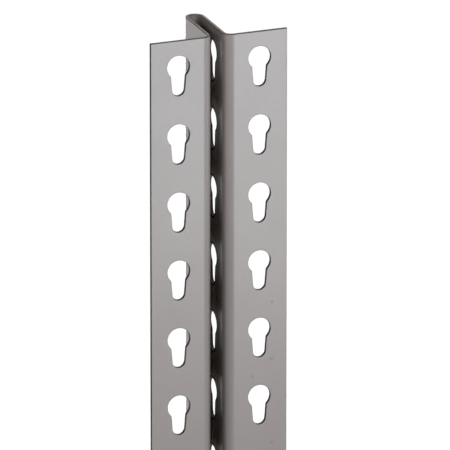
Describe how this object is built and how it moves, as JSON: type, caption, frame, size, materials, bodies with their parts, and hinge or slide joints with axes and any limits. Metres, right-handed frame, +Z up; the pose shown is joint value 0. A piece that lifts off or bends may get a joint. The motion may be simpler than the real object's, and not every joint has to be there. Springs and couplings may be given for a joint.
{
  "type": "upright post",
  "caption": "Roll-formed steel upright for boltless rivet shelving: two flat flanges and a narrow folded loop behind them, with keyholes at an even pitch in all of them.",
  "frame": {"origin": "middle of the foot end's box, on the floor", "axes": "+Z up along the post, -Y out of the fronts of the flanges, +Y back along the loop, +X to the right seen from the front"},
  "size_m": [0.077, 0.041, 0.9144],
  "materials": {
    "painted_steel": "satin grey paint baked on sheet steel, with the punched and sawn edges darker"
  },
  "bodies": {
    "root": {"tee_post": "painted_steel"}
  },
  "joints": []
}
